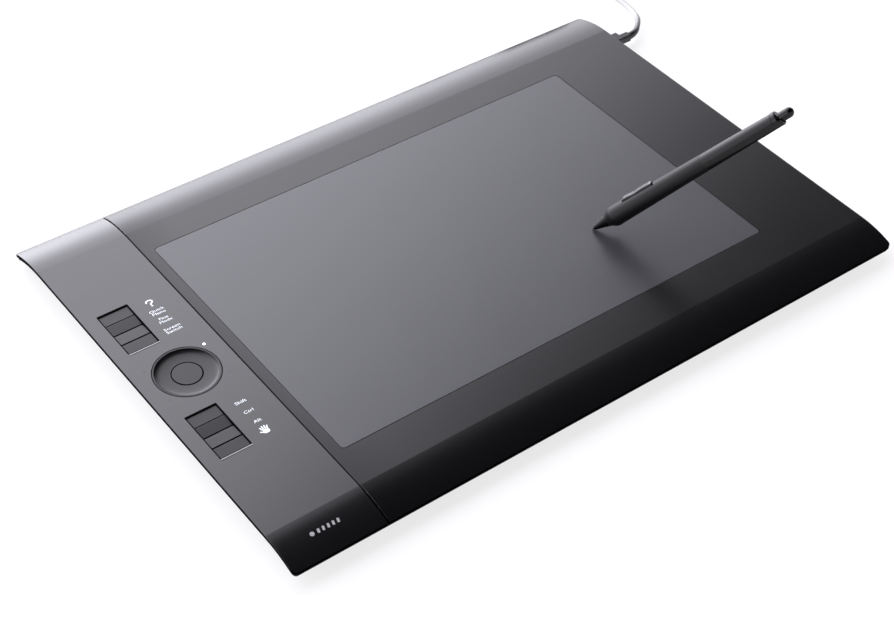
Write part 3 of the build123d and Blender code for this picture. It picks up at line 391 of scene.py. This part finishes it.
def coil_point(angle):
    """Middle line of the coil: flat spirals, in and out by turns, joined by slow climbs."""
    period = COIL_SPIRAL + COIL_CLIMB
    layer = min(int(angle / period), COIL_LAYERS - 1)
    within = angle - layer * period
    share = min(within / COIL_SPIRAL, 1.0)
    if layer % 2 == 1:
        share = 1.0 - share
    climb = min(max((within - COIL_SPIRAL) / COIL_CLIMB, 0.0), 1.0)
    climb = climb * climb * (3 - 2 * climb)
    height = CABLE_R * (2 * layer + 1) + 2 * CABLE_R * climb
    step = math.radians((COIL_LAYERS * period - COIL_CLIMB) / COIL_STEPS)
    # the quadratic spline runs inside its control points by this factor
    radius = (COIL_OUTER + (COIL_INNER - COIL_OUTER) * share) / (0.75 + 0.25 * math.cos(step))
    turned = math.radians(angle)
    return COIL_CENTRE + Vector((radius * math.cos(turned), radius * math.sin(turned), height))


def make_lead():
    total = COIL_LAYERS * (COIL_SPIRAL + COIL_CLIMB) - COIL_CLIMB
    points = [Vector(point) * MM for point in LEAD_ROUTE]
    points += [coil_point(total * step / COIL_STEPS) for step in range(1, COIL_STEPS + 1)]
    points += [Vector(point) * MM for point in LEAD_TAIL]
    data = bpy.data.curves.new("usb_lead", "CURVE")
    data.dimensions = "3D"
    data.bevel_depth = CABLE_R
    data.bevel_resolution = 6
    data.resolution_u = 5
    data.use_fill_caps = True
    spline = data.splines.new("NURBS")
    spline.points.add(len(points) - 1)
    for control, point in zip(spline.points, points):
        control.co = (*point, 1.0)
    spline.order_u = 3
    spline.use_endpoint_u = True
    spline.use_smooth = True
    lead = bpy.data.objects.new("usb_lead", data)
    bpy.context.scene.collection.objects.link(lead)
    data.materials.append(MATERIALS["cable_pale"])
    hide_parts("usb_cable", "usb_cable_coil", "usb_cable_tail")
    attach(lead, "case")


make_lead()


# ---------------------------------------------------------------- legends and marks
FLAT_FRONT = 132 * MM       # the case rolls down towards the user from here
FLAT_BACK = 130 * MM
ROLL_FRONT = 80 * MM
ROLL_BACK = 75 * MM
CASE_TOP = 14 * MM
LEGEND_X = -193.3           # millimetres
LEGEND_LIFT = 0.03 * MM     # printed and lit legends stand this far out of the surface
LEGEND_THICK = 0.05 * MM
CAPITAL = 0.7               # height of a capital in the lettering, before it is scaled
CORNER_STEPS = 5
WELD = 0.001 * MM           # points nearer than this are one


def crown(y):
    """Height of the case's top surface at this distance from the middle."""
    if y < 0:
        over, radius = max(-y - FLAT_FRONT, 0.0), ROLL_FRONT
    else:
        over, radius = max(y - FLAT_BACK, 0.0), ROLL_BACK
    return CASE_TOP - radius + math.sqrt(radius ** 2 - over ** 2)


def text_outline(words, height, width):
    """Flat mesh of generic lettering, centred, with this height of capitals and this width."""
    data = bpy.data.curves.new("lettering", "FONT")
    data.body = words
    data.align_x = "CENTER"
    data.align_y = "CENTER"
    data.space_line = 0.95
    data.resolution_u = 3
    holder = bpy.data.objects.new("lettering", data)
    bpy.context.scene.collection.objects.link(holder)
    bpy.context.view_layer.update()
    mesh = bpy.data.meshes.new_from_object(holder)
    bpy.data.objects.remove(holder)
    bpy.data.curves.remove(data)
    scale = height / CAPITAL
    across = max(v.co.x for v in mesh.vertices) - min(v.co.x for v in mesh.vertices)
    stretch = width / across
    for vertex in mesh.vertices:
        vertex.co = Vector((vertex.co.x * stretch, vertex.co.y * scale, 0.0))
    return mesh


def polygon_mesh(rings):
    """Flat mesh of convex outlines, each a list of (x, y) points in metres."""
    mesh = bpy.data.meshes.new("outline")
    points = [(x, y, 0.0) for ring in rings for x, y in ring]
    faces = []
    start = 0
    for ring in rings:
        faces.append(list(range(start, start + len(ring))))
        start += len(ring)
    mesh.from_pydata(points, [], faces)
    return mesh


def rounded_bar(x, y, width, height, radius, turn=0.0):
    """Outline of a bar with rounded corners round (x, y), in millimetres, turned by degrees."""
    x, y, width, height, radius = (size * MM for size in (x, y, width, height, radius))
    turned = math.radians(turn)
    ring = []
    for corner, (sx, sy) in enumerate(((1, 1), (-1, 1), (-1, -1), (1, -1))):
        for step in range(CORNER_STEPS + 1):
            angle = math.radians(90 * (corner + step / CORNER_STEPS))
            px = sx * (width / 2 - radius) + radius * math.cos(angle)
            py = sy * (height / 2 - radius) + radius * math.sin(angle)
            ring.append((x + px * math.cos(turned) - py * math.sin(turned),
                         y + px * math.sin(turned) + py * math.cos(turned)))
    return ring


def raise_plate(mesh, thickness):
    """Turn a flat mesh into a closed plate of this thickness, on z from 0 up."""
    work = bmesh.new()
    work.from_mesh(mesh)
    bmesh.ops.remove_doubles(work, verts=work.verts, dist=WELD)
    bmesh.ops.triangulate(work, faces=work.faces)
    for face in work.faces:
        if face.normal.z < 0:
            face.normal_flip()
    top = work.faces[:]
    made = bmesh.ops.extrude_face_region(work, geom=top, use_keep_orig=True)
    for item in made["geom"]:
        if isinstance(item, bmesh.types.BMVert):
            item.co.z += thickness
    bmesh.ops.recalc_face_normals(work, faces=work.faces)
    work.to_mesh(mesh)
    work.free()


def add_piece(name, mesh, material, body):
    piece = bpy.data.objects.new(name, mesh)
    bpy.context.scene.collection.objects.link(piece)
    mesh.materials.append(material)
    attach(piece, body)
    return piece


def lay_on_case(mesh, x, y):
    """Move a plate to this place on the case and bend it over the case's crown."""
    for vertex in mesh.vertices:
        vertex.co.x += x
        vertex.co.y += y
        vertex.co.z += crown(vertex.co.y) - LEGEND_THICK + LEGEND_LIFT


def add_plate(name, mesh, x, y, material, slot):
    """A thin lit or printed plate on the case's top, round (x, y) in millimetres."""
    raise_plate(mesh, LEGEND_THICK)
    lay_on_case(mesh, x * MM, y * MM)
    add_piece(name, mesh, material, "case")


# lit words beside six of the keys, from the back: their place along Y, height of capitals and
# width; all the sizes of legends and marks are in millimetres
LEGENDS = [("Quick\nMenu", 55.8, 2.2, 10), ("Fine\nMode", 47.5, 2.2, 8.5),
           ("Screen\nSwitch", 37.3, 2.2, 11), ("Shift", -38.7, 2.3, 7.5),
           ("Ctrl", -47.6, 2.3, 6.2), ("Alt", -56.9, 2.3, 5.0)]
# bars are (x, y, width, height, corner radius) and then a turn in degrees
QUESTION_Y = 65.0
QUESTION_STEM = [(0.0, -2.75, 1.2, 1.1, 0.5), (0.0, -1.05, 0.95, 1.5, 0.4)]     # its dot first
HOOK_BAR = (0.95, 1.15, 0.4)
HOOK_R = (2.0, 1.55)        # half width and half height of the question mark's hook
HOOK_Y = 1.2
HOOK_TURNS = range(-70, 181, 25)
HAND_Y = -65.2
PALM = (0.0, -1.5, 4.0, 3.0, 1.2)
FINGERS = [(-1.95, 1.2, 20), (-0.7, 1.8, 7), (0.7, 1.8, -7), (1.95, 1.1, -22)]   # x, y, turn
FINGER_BAR = (0.8, 3.0, 0.39)
THUMB = (-2.9, -1.1, 0.8, 2.4, 0.39, 55)
LEGEND_WHITE = emitter("legend_white", (0.80, 0.87, 1.0), 0.75)
LIGHT_WHITE = emitter("light_white", (0.80, 0.90, 1.0), 3.0)
MARK_GRAY = plastic("mark_gray", (0.42, 0.42, 0.43), 0.4)


def make_legends():
    for number, (words, y, height, width) in enumerate(LEGENDS):
        mesh = text_outline(words, height * MM, width * MM)
        add_plate(f"key_legend_{number + 2}", mesh, LEGEND_X, y, LEGEND_WHITE, "lit_white")
    # a question mark: its dot and stem, and short bars round its hook
    bars = [rounded_bar(*bar) for bar in QUESTION_STEM]
    for turn in HOOK_TURNS:
        angle = math.radians(turn)
        bars.append(rounded_bar(HOOK_R[0] * math.cos(angle), HOOK_Y + HOOK_R[1] * math.sin(angle),
                                *HOOK_BAR, turn))
    add_plate("key_legend_1", polygon_mesh(bars), LEGEND_X, QUESTION_Y, LEGEND_WHITE, "lit_white")
    # a plain open hand: a palm, four fingers and a thumb
    bars = [rounded_bar(*PALM)]
    bars += [rounded_bar(x, y, *FINGER_BAR, turn) for x, y, turn in FINGERS]
    bars.append(rounded_bar(*THUMB))
    add_plate("key_legend_8", polygon_mesh(bars), LEGEND_X, HAND_Y, LEGEND_WHITE, "lit_white")


def frame_between(name, outer, inner, low, high):
    """Closed flat frame between two outlines of the same number of points."""
    count = len(outer)
    points = [(x, y, z) for z in (low, high) for ring in (outer, inner) for x, y in ring]
    faces = []
    for here in range(count):
        beside = (here + 1) % count
        low_out, low_in, high_out, high_in = (here + count * part for part in range(4))
        low_out2, low_in2, high_out2, high_in2 = (beside + count * part for part in range(4))
        faces.append((low_out, low_out2, high_out2, high_out))
        faces.append((low_in2, low_in, high_in, high_in2))
        faces.append((high_out, high_out2, high_in2, high_in))
        faces.append((low_out2, low_out, low_in, low_in2))
    mesh = bpy.data.meshes.new(name)
    mesh.from_pydata(points, [], faces)
    return mesh


# the two pockets of keys, in millimetres
POCKET_X = -216.1
POCKET_WIDTH = 21.2
POCKET_LENGTH = 39.2
POCKET_MIDDLES = {"upper": 52.5, "lower": -50.7}
POCKET_LOW = 13.2           # the gap's filling of painted shade reaches down to here
GAP_SHOWN = 0.42            # width of the line of painted shade round each key group
GAP_PLAY = 0.02             # and its filling stays clear of the pocket's edges by this
GAP_CORNERS = (0.2, 0.1)    # corner radius of the filling, outside and inside
LIP = [(-1.25, 13.93), (-1.05, 14.27), (-0.04, 13.97), (-0.04, 13.93)]   # section: y, z
# painted shade: a near-black, hardly reflecting frame stands in for the shade in the gaps round the
# keys and the touch ring's button
PAINTED_GAP_SHADE = plastic("gap_black", (0.0015, 0.0015, 0.0016), 0.8, index=1.1)


def make_pocket_edges():
    """A near-black frame of painted shade in the gap round each key group, and the raised lip that
    catches the light in front.
    """
    for place, middle in POCKET_MIDDLES.items():
        outer, inner = (rounded_bar(POCKET_X, middle, POCKET_WIDTH - less, POCKET_LENGTH - less,
                                    corner)
                        for less, corner in zip((GAP_PLAY, 2 * GAP_SHOWN), GAP_CORNERS))
        mesh = frame_between(f"pocket_gap_shade_{place}", outer, inner, POCKET_LOW * MM,
                             CASE_TOP - GAP_PLAY * MM)
        add_piece(f"pocket_gap_shade_{place}", mesh, PAINTED_GAP_SHADE, "case")
        start = middle - POCKET_LENGTH / 2
        half = POCKET_WIDTH / 2
        points = [((POCKET_X + side * half) * MM, (start + y) * MM, z * MM)
                  for side in (-1, 1) for y, z in LIP]
        count = len(LIP)
        faces = [tuple(range(count)), tuple(reversed(range(count, 2 * count)))]
        for here in range(count):
            beside = (here + 1) % count
            faces.append((here, here + count, beside + count, beside))
        mesh = bpy.data.meshes.new(f"pocket_lip_{place}")
        mesh.from_pydata(points, [], faces)
        add_piece(f"pocket_lip_{place}", mesh, MATERIALS["case_gray"], "case")


BUTTON_CAP_R = 9.2 * MM
BUTTON_LINE = (0.04 * MM, 0.72 * MM)    # the painted shade line's two edges, this far out from the button
BUTTON_LINE_STEPS = 96
BUTTON_LINE_DEEP = 0.1 * MM     # how far it reaches under the ring's surface, and over it
BUTTON_LINE_PROUD = 0.03 * MM
BUTTON_PROBES = (0.4 * MM, 0.5 * MM, 0.6 * MM, 0.7 * MM)    # where the ring's height is felt
PROBE_FROM = 1.0                # height, in metres


def make_button_gap_shade():
    """A dark ring of painted shade in the gap between the touch ring and its button."""
    low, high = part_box("ring_button")
    centre = ((low[0] + high[0]) / 2, (low[1] + high[1]) / 2)
    angles = [math.tau * step / BUTTON_LINE_STEPS for step in range(BUTTON_LINE_STEPS)]
    inner, outer = ([(centre[0] + (BUTTON_CAP_R + reach) * math.cos(angle),
                      centre[1] + (BUTTON_CAP_R + reach) * math.sin(angle)) for angle in angles]
                    for reach in BUTTON_LINE)
    level = low[2]
    for reach in BUTTON_PROBES:
        probe = Vector((centre[0] + BUTTON_CAP_R + reach, centre[1], PROBE_FROM))
        hit, place, _, _ = NODES["touch_ring"].ray_cast(probe, Vector((0, 0, -1)))
        if hit:
            level = max(level, place.z)
    mesh = frame_between("button_gap_shade", outer, inner, level - BUTTON_LINE_DEEP,
                         level + BUTTON_LINE_PROUD)
    add_piece("button_gap_shade", mesh, PAINTED_GAP_SHADE, "case")


LIGHT_R = 0.95 * MM
LIGHT_FLATNESS = 0.18           # height of the dome over its radius
LIGHT_SEGMENTS = (28, 14)


def make_status_light():
    """The lit one of the four light guides: a low dome over its end."""
    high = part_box("status_light_guides")[1]
    centre = Vector((high[0] - LIGHT_R, high[1] - LIGHT_R, high[2]))
    work = bmesh.new()
    bmesh.ops.create_uvsphere(work, u_segments=LIGHT_SEGMENTS[0], v_segments=LIGHT_SEGMENTS[1],
                              radius=LIGHT_R)
    for vertex in work.verts:
        vertex.co.z *= LIGHT_FLATNESS
        vertex.co += centre
    mesh = bpy.data.meshes.new("status_light")
    work.to_mesh(mesh)
    work.free()
    mesh.shade_smooth()
    add_piece("status_light", mesh, LIGHT_WHITE, "case")


MARK_AT = (-205.5, -145.0)      # in millimetres, as are the bars
MARK_DOT = (-9.2, 0.0, 2.8, 2.8, 1.4)
MARK_BARS = 5
MARK_START = -5.0
MARK_STEP = 3.3
MARK_BAR = (1.5, 2.8, 0.4)
MARK_SLANT = -14                # degrees


def make_front_mark():
    """A blank printed mark on the front end of the key strip: a dot and five slanted bars."""
    bars = [rounded_bar(*MARK_DOT)]
    for step in range(MARK_BARS):
        bars.append(rounded_bar(MARK_START + MARK_STEP * step, 0.0, *MARK_BAR, MARK_SLANT))
    add_plate("front_mark", polygon_mesh(bars), *MARK_AT, MARK_GRAY, "plate_silver")


make_legends()
make_pocket_edges()
make_button_gap_shade()
make_status_light()
make_front_mark()


# ---------------------------------------------------------------- floor and light
GLOW_NORMAL = Vector((-0.34, 0.812, -0.472))    # towards the middle of the bright backdrop
GLOW_RADIANCE = 4.2
GLOW_EDGE = (-0.125, 0.035)     # the backdrop's soft edge, in radians from its middle plane
GLOW_COLOUR = (0.98, 0.975, 1.06)
LEVEL_TOP = 1.5             # full white in the ramps below stands for this level
# brightness of the backdrop by height, and from left to right near its foot and above it
BY_HEIGHT = [(0.0, 0.92), (0.12, 1.10), (0.25, 1.30), (0.35, 1.28), (0.50, 1.12), (0.62, 0.97)]
FOOT_ACROSS = [(-0.20, 1.35), (-0.10, 1.05), (0.0, 1.0), (0.06, 0.88), (0.12, 0.66), (0.22, 0.5)]
ABOVE_ACROSS = [(0.05, 1.0), (0.35, 0.35)]
FOOT_HEIGHT = (0.30, 0.55)
RIGHTWARDS = Vector((0.88, -0.47, 0.0))
DIM_SIDE = Vector((0.47, 0.88, 0.0))     # away from the backdrop's dimmer, left-hand end
DIM_LEVEL = 0.4
DIM_SPREAD = (-0.2, 0.6)
SHADE = 0.03                # radiance of the dark side of the studio
FILL = 1.2                  # a soft low light on the user's side, for views from behind
FILL_SPREAD = (0.25, 0.60)
FILL_HEIGHT = (0.48, 0.72)
BACKGROUND = 0.98           # what the camera sees past the floor
FLOOR_R = 6.0
FLOOR_SIDES = 96
FLOOR_WHITE = 0.27
FLOOR_UNEVEN = 0.01
FLOOR_PATCH = 0.6           # size of its slightly darker patches
FLOOR_GLOW = 0.74


def make_floor():
    bpy.ops.mesh.primitive_circle_add(vertices=FLOOR_SIDES, radius=FLOOR_R, fill_type="NGON")
    floor = bpy.context.object
    floor.name = "floor"
    made, shader, tree = new_material("floor_white")
    drive(tree, shader, "Base Color", noise(tree, FLOOR_PATCH, detail=2.0),
          [(0.3, FLOOR_WHITE - FLOOR_UNEVEN), (0.7, FLOOR_WHITE)])
    shader.inputs["Roughness"].default_value = 0.35
    shader.inputs["IOR"].default_value = 1.2
    shader.inputs["Emission Color"].default_value = (1, 1, 1, 1)
    shader.inputs["Emission Strength"].default_value = FLOOR_GLOW
    floor.data.materials.append(made)


def make_world():
    """A wide white backdrop behind and left of the tablet, and a dark studio in front of it."""
    world = bpy.data.worlds.new("studio")
    world.use_nodes = True
    tree = world.node_tree
    add, link = tree.nodes.new, tree.links.new
    direction = add("ShaderNodeTexCoord").outputs["Generated"]

    def product(vector):
        node = add("ShaderNodeVectorMath")
        node.operation = "DOT_PRODUCT"
        node.inputs[1].default_value = vector
        link(direction, node.inputs[0])
        return node.outputs["Value"]

    def graded(value, start, end, level_start, level_end, smooth=False):
        node = add("ShaderNodeMapRange")
        node.interpolation_type = "SMOOTHSTEP" if smooth else "LINEAR"
        for socket, number in zip(("From Min", "From Max", "To Min", "To Max"),
                                  (start, end, level_start, level_end)):
            node.inputs[socket].default_value = number
        link(value, node.inputs["Value"])
        return node.outputs["Result"]

    def times(one, two):
        node = add("ShaderNodeMath")
        node.operation = "MULTIPLY"
        link(one, node.inputs[0])
        link(two, node.inputs[1])
        return node.outputs["Value"]

    def levels(value, stops):
        """Level by stops of (value, level), through a ramp from -1 to 1."""
        scaled = graded(value, -1.0, 1.0, 0.0, 1.0)
        return ramp(tree, scaled, [((at + 1) / 2, level / LEVEL_TOP) for at, level in stops])

    edge = graded(product(GLOW_NORMAL.normalized()), *GLOW_EDGE, SHADE, GLOW_RADIANCE,
                  smooth=True)
    height = product((0, 0, 1))
    across = product(RIGHTWARDS)
    mixed = add("ShaderNodeMix")
    mixed.data_type = "FLOAT"
    link(graded(height, *FOOT_HEIGHT, 0.0, 1.0, smooth=True), mixed.inputs["Factor"])
    link(levels(across, FOOT_ACROSS), mixed.inputs["A"])
    link(levels(across, ABOVE_ACROSS), mixed.inputs["B"])
    shape = times(levels(height, BY_HEIGHT), mixed.outputs["Result"])
    side = graded(product(DIM_SIDE), *DIM_SPREAD, DIM_LEVEL * LEVEL_TOP ** 2, LEVEL_TOP ** 2)
    near_floor = graded(height, *FILL_HEIGHT, 1.0, 0.0, smooth=True)
    fill = times(graded(product((0, -1, 0)), *FILL_SPREAD, 0.0, FILL, smooth=True), near_floor)
    total = add("ShaderNodeMath")
    total.operation = "ADD"
    link(times(times(edge, shape), side), total.inputs[0])
    link(fill, total.inputs[1])
    lighting = tree.nodes["Background"]
    lighting.inputs["Color"].default_value = (*GLOW_COLOUR, 1)
    link(total.outputs["Value"], lighting.inputs["Strength"])
    seen = add("ShaderNodeBackground")
    seen.inputs["Color"].default_value = (BACKGROUND,) * 3 + (1,)
    either = add("ShaderNodeMixShader")
    link(add("ShaderNodeLightPath").outputs["Is Camera Ray"], either.inputs["Fac"])
    link(lighting.outputs["Background"], either.inputs[1])
    link(seen.outputs["Background"], either.inputs[2])
    link(either.outputs["Shader"], tree.nodes["World Output"].inputs["Surface"])
    bpy.context.scene.world = world


make_floor()
make_world()
bpy.context.scene.view_settings.view_transform = "Standard"
